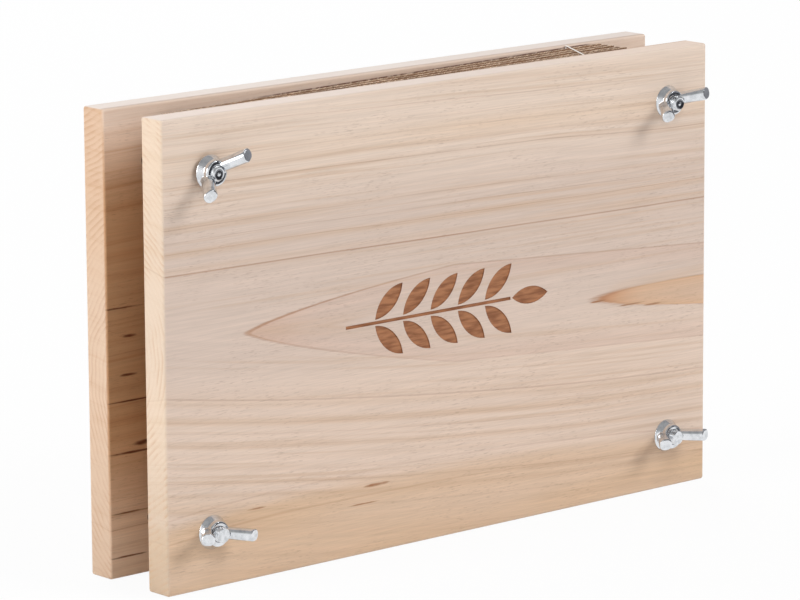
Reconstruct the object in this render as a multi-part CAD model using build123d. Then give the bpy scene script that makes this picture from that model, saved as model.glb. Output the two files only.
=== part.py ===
from build123d import *
import math
import os

# Flower press: two boards drawn together by four bolts with wing nuts, and between them a stack
# of corrugated cards and blotting papers. Millimetres, +Z up, the front looks towards -Y.
# It stands on the long lower edges of its boards. Left and right are as seen from the front.

# Boards
board_width = 280.0
board_height = 180.0
board_thickness = 12.0
board_edge_radius = 1.0

# Sheets between the boards, from the rear: a card, then three papers and a card, and so on
# They stand between the bolts, a little askew: each rises by sheet_rise from its middle to its right end
card_count = 6
papers_between_cards = 3
card_thickness = 1.8
paper_thickness = 0.4
paper_margin = 2.5
sheet_side_clearance = 3.05
sheet_end_clearance = 2.3
sheet_gap = 0.16
rear_gap = 2.2
front_gap = 0.6
sheet_rise = 1.8
rise_spread = 0.2
sheet_shift = 0.5
spread_angle = 137.5

# Inside of a corrugated card
flute_pitch = 3.2
liner_thickness = 0.25
medium_thickness = 0.25
flute_wide_side = 2.0
flute_narrow_side = 0.6

# Band round the stack
band_width = 0.7
band_thickness = 0.3
band_top_clearance = 0.3
band_board_gap = 0.3
band_rear_inset = 45.0
band_front_inset = 56.0

# Bolts with a domed head and a square neck
bolt_inset = 21.5
bolt_diameter = 5.9
bolt_stickout = 7.0
bolt_end_chamfer = 0.6
bolt_hole_clearance = 0.55
head_diameter = 16.5
head_height = 3.9
neck_width = 6.5
neck_length = 4.6
neck_clearance = 0.05

# Wing nuts
nut_bore_clearance = 0.05
nut_base_diameter = 13.4
nut_boss_diameter = 10.0
nut_cone_height = 2.6
nut_boss_height = 1.8
nut_boss_edge_radius = 0.9
wing_thickness = 4.7
wing_breadth = 5.2
wing_root_radius = 4.2
wing_root_height = 3.1
wing_root_depth = 1.6
wing_end_radius = 11.3
wing_end_height = 11.4
wing_end_slant = 20.0
wing_end_edge_radius = 0.5
wing_edge_radius = 2.1
loose_nut_standoff = 1.5

# Leaf sprig engraved in the front board
engraving_depth = 0.4
sprig_length = 104.0
sprig_stem_width = 1.3
leaf_length = 19.0
leaf_width = 7.0
leaf_pairs = 5
leaf_angle = 42.0
leaf_foot_gap = 0.8

cut_overrun = 1.0

# Values worked out from the sizes above
card_width = board_width - 2 * bolt_inset - bolt_diameter - 2 * sheet_side_clearance
card_height = board_height - 2 * sheet_end_clearance
paper_width = card_width - 2 * paper_margin
paper_height = card_height - 2 * paper_margin
sheet_count = card_count + (card_count - 1) * papers_between_cards
paper_count = sheet_count - card_count
sheets_thickness = card_count * card_thickness + paper_count * paper_thickness
board_gap = sheets_thickness + (sheet_count - 1) * sheet_gap + rear_gap + front_gap
wing_run = wing_end_radius - wing_root_radius
wing_rise = wing_end_height - wing_root_height
wing_lean = math.atan2(wing_rise, wing_run)
slant = math.radians(wing_end_slant)
slant_reach = wing_breadth / 2 * math.tan(slant)
corner_share = (math.sin(wing_lean + slant) + math.cos(wing_lean)) / (1 + math.sin(slant)) - 1
corner_height = wing_end_height + wing_breadth / 2 * math.cos(wing_lean) - slant_reach * math.sin(wing_lean)
nut_height = corner_height - wing_end_edge_radius * corner_share
front_reach = loose_nut_standoff + nut_height
total_depth = front_reach + 2 * board_thickness + board_gap + head_height

# Depths along Y, with the origin midway through the whole depth
front_face = front_reach - total_depth / 2
front_board_back = front_face + board_thickness
rear_board_face = front_board_back + board_gap
rear_face = rear_board_face + board_thickness
bolt_tip = front_face - bolt_stickout
middle_height = board_height / 2

# Corner name: side across, side up, distance of the nut from the board, turn of its wings in degrees
corners = {
    "top_left": (-1, 1, loose_nut_standoff, 37.0),
    "top_right": (1, 1, 0, 18.5),
    "bottom_left": (-1, -1, 0, -5.0),
    "bottom_right": (1, -1, 0, 1.5),
}


def bolt_place(corner):
    across, up = corners[corner][:2]
    x = across * (board_width / 2 - bolt_inset)
    z = middle_height + up * (board_height / 2 - bolt_inset)
    return x, z


def rod(diameter, x, z, y_from, y_to):
    """Round bar along Y."""
    plane = Plane(origin=(x, y_from, z), x_dir=(1, 0, 0), z_dir=(0, 1, 0))
    return extrude(plane * Circle(diameter / 2), amount=y_to - y_from)


def square_bar(width, x, z, y_from, y_to):
    """Square bar along Y."""
    bar = Box(width, y_to - y_from, width)
    return Pos(x, (y_from + y_to) / 2, z) * bar


def make_board(y_from):
    """Plain board with eased edges and a hole for each bolt."""
    board = Box(board_width, board_thickness, board_height)
    board = fillet(board.edges(), board_edge_radius)
    board = Pos(0, y_from + board_thickness / 2, middle_height) * board
    hole_diameter = bolt_diameter + 2 * bolt_hole_clearance
    for corner in corners:
        x, z = bolt_place(corner)
        y_to = y_from + board_thickness + cut_overrun
        board -= rod(hole_diameter, x, z, y_from - cut_overrun, y_to)
    return board


def make_leaf(x, z, angle):
    """Pointed leaf outline on the front face, its foot at x, z."""
    half_width = leaf_width / 2
    upper = ThreePointArc((0, 0), (leaf_length / 2, half_width), (leaf_length, 0))
    lower = ThreePointArc((leaf_length, 0), (leaf_length / 2, -half_width), (0, 0))
    leaf = make_face(upper + lower)
    return Pos(x, z) * Rot(0, 0, angle) * Pos(leaf_foot_gap, 0) * leaf


def make_sprig():
    """Straight stem with leaves in pairs and one at its tip, drawn about the board's middle."""
    stem_length = sprig_length - leaf_length
    stem_start = -sprig_length / 2
    stem = Pos(stem_start + stem_length / 2, 0) * Rectangle(stem_length, sprig_stem_width)
    leaves = [make_leaf(stem_start + stem_length, 0, 0)]
    pair_step = stem_length / (leaf_pairs + 1)
    for pair in range(leaf_pairs):
        x = stem_start + (pair + 1) * pair_step
        for side in (1, -1):
            leaves.append(make_leaf(x, side * sprig_stem_width / 2, side * leaf_angle))
    return [stem] + leaves


def make_front_board():
    board = make_board(front_face)
    plane = Plane(origin=(0, front_face, middle_height), x_dir=(1, 0, 0), z_dir=(0, -1, 0))
    for outline in make_sprig():
        groove = extrude(plane * outline, amount=cut_overrun)
        groove += extrude(plane * outline, amount=-engraving_depth)
        board -= groove
    return board


def make_rear_board():
    """The rear board also has a square pocket for each bolt's neck."""
    board = make_board(rear_board_face)
    pocket_width = neck_width + 2 * neck_clearance
    pocket_floor = rear_face - neck_length - neck_clearance
    for corner in corners:
        x, z = bolt_place(corner)
        board -= square_bar(pocket_width, x, z, pocket_floor, rear_face + cut_overrun)
    return board


def make_bolt(corner):
    x, z = bolt_place(corner)
    shank = rod(bolt_diameter, x, z, bolt_tip, rear_face)
    tip_edge = shank.edges().sort_by(Axis.Y)[0]
    shank = chamfer(tip_edge, bolt_end_chamfer)
    neck = square_bar(neck_width, x, z, rear_face - neck_length, rear_face)
    dome_radius = ((head_diameter / 2) ** 2 + head_height**2) / (2 * head_height)
    dome = Pos(x, rear_face + head_height - dome_radius, z) * Sphere(dome_radius)
    blank = rod(head_diameter + cut_overrun, x, z, rear_face, rear_face + head_height + cut_overrun)
    head = dome & blank
    return shank + neck + head


def make_wing(side):
    """One wing of an upright nut: a rounded bar with a flat slanted end, rising outwards from the hub."""
    length = math.hypot(wing_run, wing_rise)
    half_breadth = wing_breadth / 2
    outline = Polyline(
        (-wing_root_depth, -half_breadth),
        (length + slant_reach, -half_breadth),
        (length - slant_reach, half_breadth),
        (-wing_root_depth, half_breadth),
        close=True,
    )
    bar = extrude(make_face(outline), amount=wing_thickness / 2, both=True)
    bar = fillet(bar.edges().filter_by(Axis.X), wing_edge_radius)
    bar = fillet(bar.faces().sort_by(Axis.X)[-1].edges(), wing_end_edge_radius)
    bar = Rot(0, -math.degrees(wing_lean), 0) * Rot(90, 0, 0) * bar
    bar = Pos(wing_root_radius, 0, wing_root_height) * bar
    return Rot(0, 0, 0 if side > 0 else 180) * bar


def make_nut(corner):
    """Wing nut built upright on its base, then turned to point forwards on its bolt."""
    on_base = (Align.CENTER, Align.CENTER, Align.MIN)
    cone = Cone(nut_base_diameter / 2, nut_boss_diameter / 2, nut_cone_height, align=on_base)
    boss = Cylinder(nut_boss_diameter / 2, nut_cone_height + nut_boss_height, align=on_base)
    boss = fillet(boss.edges().sort_by(Axis.Z)[-1], nut_boss_edge_radius)
    nut = cone + boss + make_wing(1) + make_wing(-1)
    bore_diameter = bolt_diameter + 2 * nut_bore_clearance
    bore = Cylinder(bore_diameter / 2, 2 * (nut_height + cut_overrun))
    nut -= bore
    x, z = bolt_place(corner)
    standoff, turn = corners[corner][2:]
    seat = Plane(origin=(x, front_face - standoff, z), x_dir=(1, 0, 0), z_dir=(0, -1, 0))
    return seat * Rot(0, 0, turn) * nut


def flute_channels():
    """Trapezoid openings of the flutes, in the card's section, about its middle."""
    channel_height = card_thickness - 2 * liner_thickness - medium_thickness
    half_wide = flute_wide_side / 2
    half_narrow = flute_narrow_side / 2
    base = -card_thickness / 2 + liner_thickness
    top = base + channel_height
    openings = []
    half_steps = int((card_width - flute_wide_side) / flute_pitch) * 2 - 1
    for step in range(half_steps):
        x = (step - (half_steps - 1) / 2) * flute_pitch / 2
        side = 1 if step % 2 == 0 else -1
        corners_of_one = [
            (x - half_wide, side * base),
            (x + half_wide, side * base),
            (x + half_narrow, side * top),
            (x - half_narrow, side * top),
        ]
        openings.append(make_face(Polyline(*corners_of_one, close=True)))
    return openings


def make_card():
    """Corrugated card about the origin, with its flutes running up."""
    section = Rectangle(card_width, card_thickness) - flute_channels()
    return extrude(section, amount=card_height / 2, both=True)


def make_paper():
    return Box(paper_width, paper_thickness, paper_height)


def sheet_tilt(wander):
    """Tilt in degrees of a sheet that wanders between -1 and 1 from the usual rise."""
    return math.degrees(math.asin((sheet_rise + rise_spread * wander) / (card_width / 2)))


def make_sheets():
    """All sheets by name, from the rear board forwards, each a little out of line."""
    card = make_card()
    paper = make_paper()
    sheets = {}
    cards = 0
    papers = 0
    back = rear_board_face - rear_gap
    for index in range(sheet_count):
        if index % (papers_between_cards + 1) == 0:
            cards += 1
            name, solid, thickness = f"card_{cards}", card, card_thickness
        else:
            papers += 1
            name, solid, thickness = f"paper_{papers}", paper, paper_thickness
        wander = math.sin(math.radians(index * spread_angle))
        place = Pos(sheet_shift * wander, back - thickness / 2, middle_height)
        sheets[name] = place * Rot(0, -sheet_tilt(wander), 0) * solid
        back -= thickness + sheet_gap
    return sheets


def band_run(x_from, y_from, z_from, x_to, y_to, z_to, across):
    """Straight flat strip of the band, between two points, its width along the given direction."""
    start = Vector(x_from, y_from, z_from)
    way = Vector(x_to, y_to, z_to) - start
    plane = Plane(origin=start, x_dir=across, z_dir=way)
    return extrude(plane * Rectangle(band_width, band_thickness), amount=way.length)


def make_band():
    """Closed flat band round the stack: up behind it, over it at a slant, down its front, back under it."""
    half_band = band_thickness / 2
    rear_x = board_width / 2 - band_rear_inset
    front_x = board_width / 2 - band_front_inset
    rear_y = rear_board_face - band_board_gap
    front_y = front_board_back + band_board_gap
    lift = card_height / 2 + band_top_clearance + half_band
    most_slope = math.tan(math.radians(sheet_tilt(1)))
    least_slope = math.tan(math.radians(sheet_tilt(-1)))
    top_rear = middle_height + lift + rear_x * most_slope
    top_front = middle_height + lift + front_x * most_slope
    low_rear = middle_height - lift + rear_x * least_slope
    low_front = middle_height - lift + front_x * least_slope
    across = (1, 0, 0)
    band = band_run(rear_x, rear_y, low_rear - half_band, rear_x, rear_y, top_rear + half_band, across)
    band += band_run(front_x, front_y, low_front - half_band, front_x, front_y, top_front + half_band, across)
    band += band_run(rear_x, rear_y, top_rear, front_x, front_y, top_front, across)
    band += band_run(rear_x, rear_y, low_rear, front_x, front_y, low_front, across)
    return band


def make_parts():
    parts = {"rear_board": make_rear_board(), "front_board": make_front_board()}
    for corner in corners:
        parts[f"bolt_{corner}"] = make_bolt(corner)
        parts[f"wing_nut_{corner}"] = make_nut(corner)
    parts.update(make_sheets())
    parts["sheet_band"] = make_band()
    return parts


os.makedirs("parts", exist_ok=True)
for name, solid in make_parts().items():
    export_step(solid, f"parts/{name}.step")
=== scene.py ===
import math
import bmesh
import bpy
from mathutils import Matrix, Vector


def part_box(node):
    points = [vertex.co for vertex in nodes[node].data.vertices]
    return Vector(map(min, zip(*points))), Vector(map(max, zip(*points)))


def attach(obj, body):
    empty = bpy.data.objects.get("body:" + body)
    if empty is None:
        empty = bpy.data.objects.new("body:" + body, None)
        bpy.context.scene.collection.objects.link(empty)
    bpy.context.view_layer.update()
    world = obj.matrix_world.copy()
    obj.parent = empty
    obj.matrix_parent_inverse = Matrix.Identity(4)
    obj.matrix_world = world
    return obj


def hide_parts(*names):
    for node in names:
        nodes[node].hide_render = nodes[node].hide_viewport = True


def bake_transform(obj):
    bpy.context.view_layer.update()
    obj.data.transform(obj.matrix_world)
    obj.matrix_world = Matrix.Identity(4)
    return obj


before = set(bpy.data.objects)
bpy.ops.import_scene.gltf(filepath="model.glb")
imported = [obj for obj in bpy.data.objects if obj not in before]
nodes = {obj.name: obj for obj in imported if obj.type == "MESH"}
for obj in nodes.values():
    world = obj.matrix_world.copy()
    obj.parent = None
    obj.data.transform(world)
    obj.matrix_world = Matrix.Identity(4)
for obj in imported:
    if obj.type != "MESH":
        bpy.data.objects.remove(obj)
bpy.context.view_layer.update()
mm = 0.001  # lengths below are written in millimetres
corners = ("top_left", "top_right", "bottom_left", "bottom_right")
print("frame loaded with", len(nodes), "nodes")


# small helpers for node trees

def plug(tree, value, socket):
    if isinstance(value, bpy.types.NodeSocket):
        tree.links.new(value, socket)
    else:
        socket.default_value = value


def addNode(tree, kind, sockets=None, **settings):
    made = tree.nodes.new(kind)
    for name, value in settings.items():
        setattr(made, name, value)
    for key, value in (sockets or {}).items():
        plug(tree, value, made.inputs[key])
    return made


def treeOf(*values):
    return next(value.id_data for value in values if isinstance(value, bpy.types.NodeSocket))


def calc(operation, first, second=0.0, third=0.0):
    sockets = {0: first, 1: second, 2: third}
    made = addNode(treeOf(first, second, third), "ShaderNodeMath", sockets, operation=operation)
    return made.outputs[0]


def times(first, second):
    return calc("MULTIPLY", first, second)


def timesPlus(first, second, third):
    return calc("MULTIPLY_ADD", first, second, third)


def plus(first, second):
    return calc("ADD", first, second)


def minus(first, second):
    return calc("SUBTRACT", first, second)


def apart(first, second):
    return calc("ABSOLUTE", minus(first, second))


def hypot(first, second):
    return calc("SQRT", timesPlus(first, first, times(second, second)))


def axesOf(vector):
    return addNode(treeOf(vector), "ShaderNodeSeparateXYZ", {0: vector}).outputs


def joined(tree, parts):
    return addNode(tree, "ShaderNodeCombineXYZ", parts).outputs[0]


def shape(tree, kind, sockets=None, **settings):
    return addNode(tree, "GeometryNode" + kind, sockets, **settings).outputs[0]


def ease(value, low, high, toLow=0.0, toHigh=1.0):
    sockets = {0: value, 1: low, 2: high, 3: toLow, 4: toHigh}
    made = addNode(treeOf(value), "ShaderNodeMapRange", sockets, interpolation_type="SMOOTHSTEP")
    return made.outputs[0]


def tint(share, under, over, way="MIX"):
    tree = treeOf(share, under, over)
    sockets = {0: share, 6: under, 7: over}
    return addNode(tree, "ShaderNodeMix", sockets, data_type="RGBA", blend_type=way).outputs[2]


def clouds(place, size, detail=2.0, roughness=0.5, shift=(0, 0, 0)):
    tree = treeOf(place)
    sockets = {0: place, 1: tuple(1.0 / side for side in size), 2: shift}  # size is one cloud's length
    spot = addNode(tree, "ShaderNodeVectorMath", sockets, operation="MULTIPLY_ADD")
    sockets = {"Vector": spot.outputs[0], "Scale": 1.0, "Detail": detail, "Roughness": roughness}
    return addNode(tree, "ShaderNodeTexNoise", sockets).outputs[0]


def paint(red, green, blue):
    linear = []
    for level in (red, green, blue):  # written as on a screen, 0 to 255
        share = level / 255
        linear.append(share / 12.92 if share <= 0.04045 else ((share + 0.055) / 1.055) ** 2.4)
    return (*linear, 1.0)


def emptyTree(owner):
    owner.use_nodes = True
    owner.node_tree.nodes.clear()
    return owner.node_tree


def showSurface(tree, shader, kind="Material"):
    output = addNode(tree, "ShaderNodeOutput" + kind)
    tree.links.new(shader.outputs[0], output.inputs["Surface"])


def newMaterial(name):
    material = bpy.data.materials.new(name)
    tree = emptyTree(material)
    shader = addNode(tree, "ShaderNodeBsdfPrincipled")
    showSurface(tree, shader)
    coordinates = addNode(tree, "ShaderNodeTexCoord").outputs["Object"]
    sockets = {0: coordinates, 1: (1 / mm,) * 3}
    scaled = addNode(tree, "ShaderNodeVectorMath", sockets, operation="MULTIPLY")
    return material, tree, shader, scaled.outputs[0]


def finishLook(tree, shader, colour, rough, height, bump):
    distance, strength = bump
    sockets = {"Height": height, "Distance": distance * mm, "Strength": strength}
    normal = addNode(tree, "ShaderNodeBump", sockets).outputs[0]
    for label, value in (("Base Color", colour), ("Roughness", rough), ("Normal", normal)):
        tree.links.new(value, shader.inputs[label])


def addPiece(name, data):
    piece = bpy.data.objects.new(name, data)
    bpy.context.scene.collection.objects.link(piece)
    return piece


# wood of the two boards: growth rings about a pith line that runs nearly along the board

frontWood = {
    "paleWood": paint(235, 214, 196),    # near the top edge
    "midWood": paint(219, 198, 183),
    "lowWood": paint(231, 208, 190),
    "warmWood": paint(220, 185, 149),    # yellow sapwood, also along the bottom edge
    "lateWood": paint(176, 134, 108),
    "bandWood": paint(211, 177, 146),
    "fleck": paint(150, 114, 92),
    "gapShadeTone": paint(246, 232, 216),   # painted shade between the boards, multiplies the inner faces' colour
    "endWood": paint(232, 209, 182),
    "endFoot": 0.7,               # the ends get darker towards the foot, to this share
    "endLine": paint(206, 164, 124),
    "endTop": paint(254, 253, 252),
    "endLines": 0.55,
    "endPith": (44.0, 88.0),      # behind the face and up, where the rings on the end faces centre
    # top faces: partly the wood's own paler colour, partly painted shade that greys them
    "topWoodAndShade": paint(232, 217, 207),
    "topFade": (10.0, 110.0),     # the top face is less pale to the right of these
    "topShadeTone": paint(250, 248, 247),
    "pithHeight": 88.4,           # height of the pith line at the board's middle
    "pithSlopes": (-0.024, -0.095),  # of the rings above and below it
    "lowBow": 0.0002,             # the lower ones bend up at both ends
    "pithDepth": 12.0,            # behind the front face
    "depthSlope": 0.02,
    "inwardShare": 0.6,           # rings are flattened through the thickness
    "calmRadius": 26.0,           # the rings wander more outside this
    "wander": 8.0,
    "ripple": 1.3,
    "ringEdges": (33.9, 41, 45, 49.5, 54, 59, 64, 68.5, 74, 79, 85, 91, 98, 106),
    "strongRings": 2,
    "lineShare": 0.85,
    "bandShare": 0.6,
    "lowShare": 0.5,              # ring lines are weaker below the pith
    "yellowRing": (73.0, 6.0, 0.5),
    "hill": (-35.0, 33.0, 0.00038),  # x and z of the top of the yellow foot, and its fall to the sides
    "warmDepth": 7.0,
    "hillLines": ((0.0, 0.28), (9.5, 0.3)),  # depth in the foot and strength
    "archSlope": -0.0655,
    "archLine": paint(172, 120, 84),
    "arches": (
        {"tip": -100.6, "radius": 27.6, "slope": 0.14, "power": 1.3, "least": 13.0,
         "rim": 0.4, "core": 0.0, "line": 0.7, "wood": paint(214, 182, 164),
         "tipReach": 40.0, "tipShare": 0.3, "tipWood": paint(208, 160, 126)},
        {"tip": 80.8, "radius": 8.0, "slope": 0.053, "power": 1.85, "least": 0.0,
         "rim": 0.9, "core": 0.55, "line": 0.6, "wood": paint(222, 180, 144),
         "tipReach": 26.0, "tipShare": 0.8, "tipWood": paint(202, 144, 104)},
    ),
    "streaks": ((-37, 26.6, 7.5, 0.75), (-97, 27, 5, 0.45), (-43, 20, 9, 0.4), (80, 82.2, 5, 0.45),
                (99, 78.6, 9, 0.4), (112, 77.0, 8, 0.5)),
    "streakColour": paint(168, 118, 82),
    "stackShadowed": False,
    "shift": (3.1, 7.7, 1.9),
}
rearWood = {
    "paleWood": paint(226, 206, 190),
    "midWood": paint(222, 198, 175),
    "lowWood": paint(222, 196, 171),
    "warmWood": paint(220, 190, 162),
    "lateWood": paint(158, 112, 80),
    "bandWood": paint(200, 158, 122),
    "fleck": paint(128, 88, 62),
    "gapShadeTone": paint(236, 206, 172),
    "endWood": paint(222, 190, 162),
    "endFoot": 0.86,
    "endLine": paint(188, 138, 102),
    "endTop": paint(251, 243, 233),
    "endLines": 0.4,
    "endPith": (-50.0, 70.0),
    "topWoodAndShade": paint(228, 217, 209),
    "topFade": (120.0, 200.0),
    "topShadeTone": paint(255, 255, 255),
    "pithHeight": -46.0,
    "pithSlopes": (0.05, 0.05),
    "lowBow": 0.0,
    "pithDepth": 26.0,
    "depthSlope": -0.05,
    "inwardShare": 1.2,
    "calmRadius": 30.0,
    "wander": 8.0,
    "ripple": 1.2,
    "ringEdges": (30, 44, 52, 57, 63, 68, 74, 79, 85, 90, 97, 103, 108, 115, 121, 128, 134, 141, 147, 155,
                  163, 170, 178, 186, 195, 204, 213, 223, 234),
    "strongRings": 0,
    "lineShare": 0.6,
    "bandShare": 0.4,
    "lowShare": 1.0,
    "yellowRing": (150.0, 8.0, 0.4),
    "hill": (0.0, -50.0, 0.0),
    "warmDepth": 7.0,
    "hillLines": (),
    "archSlope": 0.0,
    "arches": (),
    "streaks": ((-133, 104, 12, 0.5), (-129, 93, 4, 0.8), (-130, 78, 5, 0.7), (-128, 68, 14, 0.45),
                (-124, 51, 5, 1.3), (-128, 48, 15, 0.6), (-130, 25, 12, 0.45), (-132, 8, 11, 0.5),
                (62, 120, 16, 0.6), (-20, 41, 12, 0.7)),
    "streakColour": paint(112, 68, 40),
    "stackShadowed": True,               # a painted shadow of the sheets that lean against it
    "shift": (11.3, 2.2, 8.4),
}
boardLook = {
    # painted highlight along the eased edges of the boards
    "edgeEase": 1.5,
    "edgeHighlightShare": 0.25,
    "edgeHighlight": paint(234, 217, 200),
    "toneDepth": 1.0,
    "topDepth": 0.35,
    "paleAbove": 163.0,
    "midBelow": 128.0,
    "lowBelow": (58.0, 92.0),
    "endShare": 0.6,
    "endPitch": 2.2,
    "endFootTo": 80.0,
    "endTopFrom": (100.0, 160.0),
    "topLeast": 0.2,
    "topShare": 0.8,
    "gapShadeTopFade": (142.0, 186.0),    # the painted shade on the inner faces fades out towards their top edge
    "gapShadeFootFade": (8.0, 62.0),       # and weakens towards the foot
    "gapShadeLeast": 0.2,
    # painted light: the inner faces are brightened towards the top and towards the foot
    "gapLightTop": (85.0, 140.0, 1.0, 1.08),
    "gapLightFoot": (15.0, 75.0, 1.2, 1.0),
    # painted light: a pale strip along the top of the inner faces
    "litLipFrom": 168.0,
    "litLipShare": 0.9,
    "litLipColour": paint(240, 218, 200),
    "edgeShadeDepth": (1.0, 2.8),        # the inner top edge is darker this far in: painted shade where the edge rounds over
    "wornTone": paint(230, 220, 212),
    # painted shadow of the stack's top edge on the rear board's inner face
    "stackShadowHeight": 177.69,           # top of the stack where it leans near the rear board
    "stackShadowSlope": 0.016,
    "stackShadowRise": (-2.0, -0.9),
    "stackShadowFall": (-0.35, 0.1, 0.95, 0.0),
    "stackShadowBreaks": (0.36, 0.56, 0.25, 1.0),
    "stackShadowReach": (-76.0, -52.0, 104.0, 110.0),
    "stackShadow": paint(112, 66, 40),
}
sprigLook = {
    "halfLength": 56.0,
    "halfHeight": 24.0,
    "middle": 90.0,
    "depth": 0.4,
    "burn": paint(178, 121, 82),
    "burnDark": paint(138, 86, 54),
    "burnFrom": (0.2, 0.6),         # shares of the depth between which the burn starts
    "burnTo": (1.2, 1.5),
}
grainLook = {
    "slowCloud": (260, 46, 46),     # lengths of one cloud along the board, through it and up it
    "fineCloud": (80, 9, 9),
    "alongCloud": (170, 14, 14),
    "raggedCloud": (6, 1.5, 1.5),
    "threadCloud": (170, 1.7, 1),
    "fibreCloud": (22, 0.5, 0.5),
    "patchCloud": (240, 34, 34),
    "tickCloud": (3.4, 0.34, 0.34),
    "zoneCloud": (40, 14, 14),
    "burnCloud": (9, 1.4, 1.4),
    "endCloud": (60, 60, 36),
    "endPatch": (60, 9, 24),
    "stackShadowCloud": (7, 7, 7),
    "endWaver": 14.0,
    "hillWaver": 1.2,
    "calmShare": 0.12,              # of the wander near the pith
    "lineStart": 0.87,              # where in a ring its dark line starts
    "strongStart": 0.966,
    "lineStop": 0.985,              # a ring ends sharply on its outer side
    "linePower": 1.5,
    "chancePower": 2.2,             # most ring lines are faint
    "lineShares": (0.06, 0.85),
    "bandHalf": 0.42,
    "footInside": (9, 22, 1, 0.88),  # the yellow is strongest near the upper edge of the foot
    "hillLineHalf": (0.1, 0.6),
    "alongFade": (0.3, 0.65, 0.3, 1),
    "strongLeast": 0.8,             # a strong ring's line fades no further along the board
    "archRagged": 0.5,
    "archCore": 0.35,               # share of the radius between an arch's rim and its core
    "archEdge": (-0.15, 0.1),
    "archLineHalf": (0.08, 0.4),
    "archFade": 4,                  # the line weakens over this many radii
    "streakRagged": 1.6,
    "streakEdge": (0.7, 1.9),
    "streakDepth": 3,               # times its half height
    "tickShare": 0.26,
    "threadShare": 0.5,
    "threadShine": 1.06,
    "fibreShades": (0.93, 1.05),
    "rough": (0.66, 0.5),
    "sheen": 0.35,
    "bump": (0.05, 0.5),            # height and strength
}


def dice(number):  # a share from 0 to 1 that depends on nothing but the number
    made = addNode(treeOf(number), "ShaderNodeTexWhiteNoise", {"W": number}, noise_dimensions="1D")
    return made.outputs[0]


def ringField(axes, place, wood, face):
    depth = timesPlus(axes[0], -wood["depthSlope"], wood["pithDepth"])
    inward = apart(axes[1], face)
    depth = timesPlus(inward, -wood["inwardShare"], depth)
    rises = [timesPlus(axes[0], slope, wood["pithHeight"]) for slope in wood["pithSlopes"]]
    bow = times(axes[0], axes[0])
    below = minus(timesPlus(bow, wood["lowBow"], rises[1]), axes[2])
    aside = calc("MAXIMUM", minus(axes[2], rises[0]), below)
    distance = hypot(aside, depth)
    slow = minus(clouds(place, grainLook["slowCloud"], 2, shift=wood["shift"]), 0.5)
    fine = minus(clouds(place, grainLook["fineCloud"], 3, shift=wood["shift"]), 0.5)
    wander = timesPlus(fine, wood["ripple"], times(slow, wood["wander"]))
    calm = ease(distance, wood["calmRadius"], wood["calmRadius"] * 2, grainLook["calmShare"], 1)
    topX, topZ, fall = wood["hill"]
    out = minus(axes[0], topX)
    foot = timesPlus(times(out, out), -fall, topZ)
    hill = minus(timesPlus(wander, grainLook["hillWaver"], foot), axes[2])
    return timesPlus(wander, calm, distance), below, hill


def ringNumber(radius, edges):
    reach = edges[-1]
    curve = addNode(treeOf(radius), "ShaderNodeFloatCurve", {"Value": calc("DIVIDE", radius, reach)})
    line = curve.mapping.curves[0]
    for count, edge in enumerate(edges[:-1], 1):
        line.points.new(edge / reach, count / len(edges))
    for point in line.points:
        point.handle_type = "VECTOR"
    curve.mapping.update()
    return times(curve.outputs[0], len(edges))


def lateWood(place, radius, below, wood):
    ring = ringNumber(radius, wood["ringEdges"])
    part = calc("FRACT", ring)
    strong = ease(ring, wood["strongRings"], wood["strongRings"] + 0.1, 1, 0)
    start = ease(strong, 0, 1, grainLook["lineStart"], grainLook["strongStart"])
    stop = ease(part, grainLook["lineStop"], 1.0, 1, 0)
    line = calc("POWER", ease(part, start, grainLook["lineStop"]), grainLook["linePower"])
    line = times(line, stop)
    beside = calc("MINIMUM", part, minus(1.0, part))
    chance = calc("POWER", dice(calc("FLOOR", ring)), grainLook["chancePower"])
    lineShare = ease(chance, 0, 1, *grainLook["lineShares"])
    lineShare = calc("MAXIMUM", lineShare, strong)
    along = clouds(place, grainLook["alongCloud"], 3, shift=wood["shift"])
    along = ease(along, *grainLook["alongFade"])
    along = calc("MAXIMUM", along, times(strong, grainLook["strongLeast"]))
    lineShare = times(lineShare, along)
    lineShare = times(lineShare, ease(below, -4, 4, 1, wood["lowShare"]))
    edge = plus(calc("FLOOR", plus(ring, 0.5)), 0.37)
    band = ease(beside, 0.0, grainLook["bandHalf"], 1, 0)
    band = times(band, ease(dice(edge), 0.2, 1, 0.15, 1))
    band = times(times(band, along), ease(ring, 0.75, 1.4))
    return times(line, lineShare), band


def addArches(axes, fibres, wood, colour):
    pith = timesPlus(axes[0], wood["archSlope"], wood["pithHeight"])
    upward = minus(axes[2], pith)
    ragged = minus(fibres, 0.5)
    for arch in wood["arches"]:
        radius, power = arch["radius"], arch["power"]
        depth = timesPlus(axes[0], -arch["slope"], radius + arch["slope"] * arch["tip"])
        depth = calc("MAXIMUM", depth, arch["least"])
        sides = calc("POWER", calc("ABSOLUTE", upward), power)
        both = plus(sides, calc("POWER", depth, power))
        out = minus(calc("POWER", both, 1 / power), radius)
        out = timesPlus(ragged, grainLook["archRagged"], out)
        share = ease(out, -grainLook["archCore"] * radius, 0.0, arch["core"], arch["rim"])
        inside = ease(out, *grainLook["archEdge"], 1, 0)
        colour = tint(times(share, inside), colour, arch["wood"])
        tip = ease(axes[0], arch["tip"], arch["tip"] + arch["tipReach"], arch["tipShare"], 0)
        colour = tint(times(tip, inside), colour, arch["tipWood"])
        line = ease(calc("ABSOLUTE", out), *grainLook["archLineHalf"], 1, 0)
        line = times(line, ease(upward, -3, 3, arch["line"] / 2, arch["line"]))
        far = arch["tip"] + grainLook["archFade"] * radius
        line = times(line, ease(axes[0], arch["tip"], far, 1, 0.5))
        colour = tint(line, colour, wood["archLine"])
    return colour


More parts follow.
